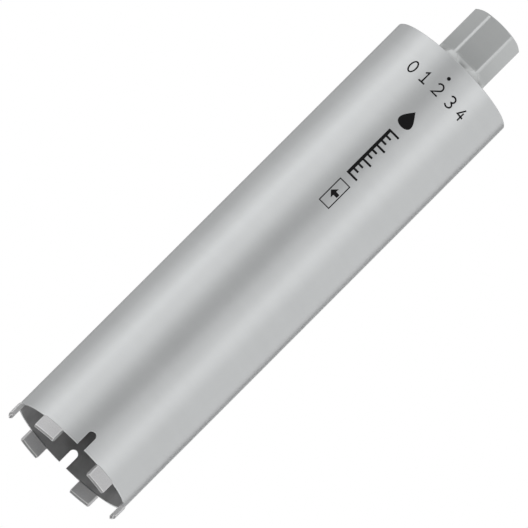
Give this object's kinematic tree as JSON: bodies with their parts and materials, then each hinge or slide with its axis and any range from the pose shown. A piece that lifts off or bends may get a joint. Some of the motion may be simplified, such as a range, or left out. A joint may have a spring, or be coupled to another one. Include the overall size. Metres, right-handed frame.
{
  "type": "diamond core bit",
  "caption": "Long thin-walled core bit: a tube with diamond segments and water slots at its open rim, closed by a hexagonal hub bored through for a drill's spindle thread.",
  "frame": {"origin": "on the axis, in the plane that the tips of the segments stand on", "axes": "+Z along the axis from the cutting end up to the hub; -Y passes through a water slot and a flat of the hexagon; +X passes through the middle of a segment"},
  "size_m": [0.112, 0.1104, 0.4728],
  "materials": {
    "silver_paint": "fine silver paint, satin",
    "hub_steel": "the same silver paint over turned and milled steel, satin",
    "sintered_metal": "sintered metal with diamond grit, matt with fine grain",
    "black_print": "screen print, matt"
  },
  "bodies": {
    "root": {"barrel": "silver_paint", "hub": "hub_steel", "segment_1": "sintered_metal", "segment_2": "sintered_metal", "segment_3": "sintered_metal", "segment_4": "sintered_metal", "segment_5": "sintered_metal", "segment_6": "sintered_metal"}
  },
  "joints": []
}
